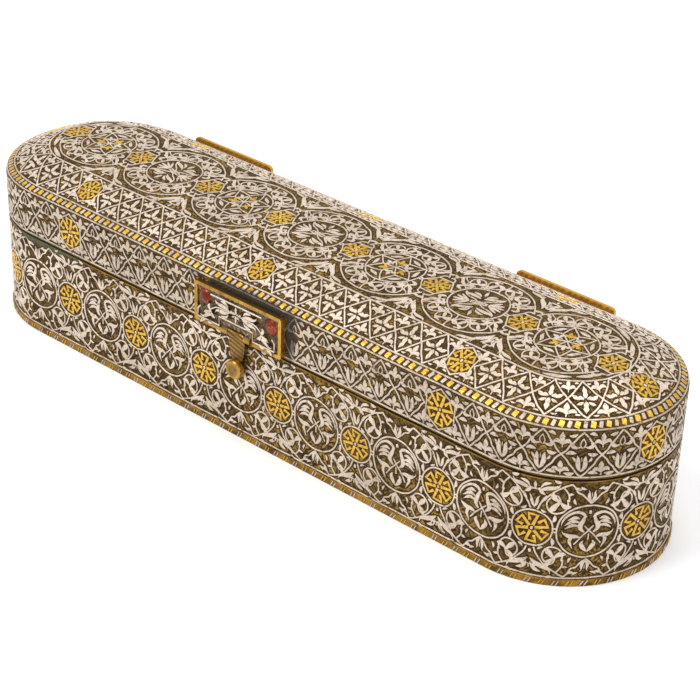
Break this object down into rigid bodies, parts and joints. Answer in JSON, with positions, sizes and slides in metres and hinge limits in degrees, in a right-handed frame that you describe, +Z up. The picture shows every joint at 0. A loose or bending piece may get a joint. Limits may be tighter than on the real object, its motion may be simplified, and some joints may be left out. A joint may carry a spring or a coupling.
{
  "type": "needle case",
  "caption": "Long round-ended inlaid brass box with a domed lid on two rear leaf hinges and a hanging front hasp.",
  "frame": {"origin": "centre of the flat underside", "axes": "+X along the length, -Y to the front with the hasp, +Y to the hinges, +Z up"},
  "size_m": [0.194, 0.0555, 0.0436],
  "materials": {
    "inlaid_brass": "dark, aged brass with a satin wear",
    "plain_brass": "rubbed brass",
    "copper": "dull copper",
    "silver_inlay": "soft silver",
    "gold_inlay": "bright gold"
  },
  "bodies": {
    "base": {"base_wall": "inlaid_brass", "base_floor": "inlaid_brass", "base_rim": "inlaid_brass", "inner_lip": "inlaid_brass", "catch_stud": "plain_brass", "left_base_leaf": "plain_brass", "left_hinge_pin": "plain_brass", "right_base_leaf": "plain_brass", "right_hinge_pin": "plain_brass", "base_leaf_rivet_1": "plain_brass", "base_leaf_rivet_2": "plain_brass", "base_leaf_rivet_3": "plain_brass", "base_leaf_rivet_4": "plain_brass"},
    "lid": {"lid_wall": "inlaid_brass", "lid_top": "inlaid_brass", "hasp_plate": "plain_brass", "hasp_pin": "plain_brass", "hasp_rivet_1": "copper", "hasp_rivet_2": "copper", "left_lid_leaf": "plain_brass", "right_lid_leaf": "plain_brass", "lid_leaf_rivet_1": "plain_brass", "lid_leaf_rivet_2": "plain_brass", "lid_leaf_rivet_3": "plain_brass", "lid_leaf_rivet_4": "plain_brass"},
    "hasp": {"hasp_tongue": "plain_brass", "hasp_knob": "plain_brass"}
  },
  "joints": [
    {"name": "lid_hinge", "type": "hinge", "parent": "base", "child": "lid", "pos_m": [0, 0.02635, 0.02625], "axis": [-1, 0, 0], "range_deg": [0, 165]},
    {"name": "hasp_hinge", "type": "hinge", "parent": "lid", "child": "hasp", "pos_m": [0, -0.0261, 0.02755], "axis": [-1, 0, 0], "range_deg": [0, 140]}
  ]
}
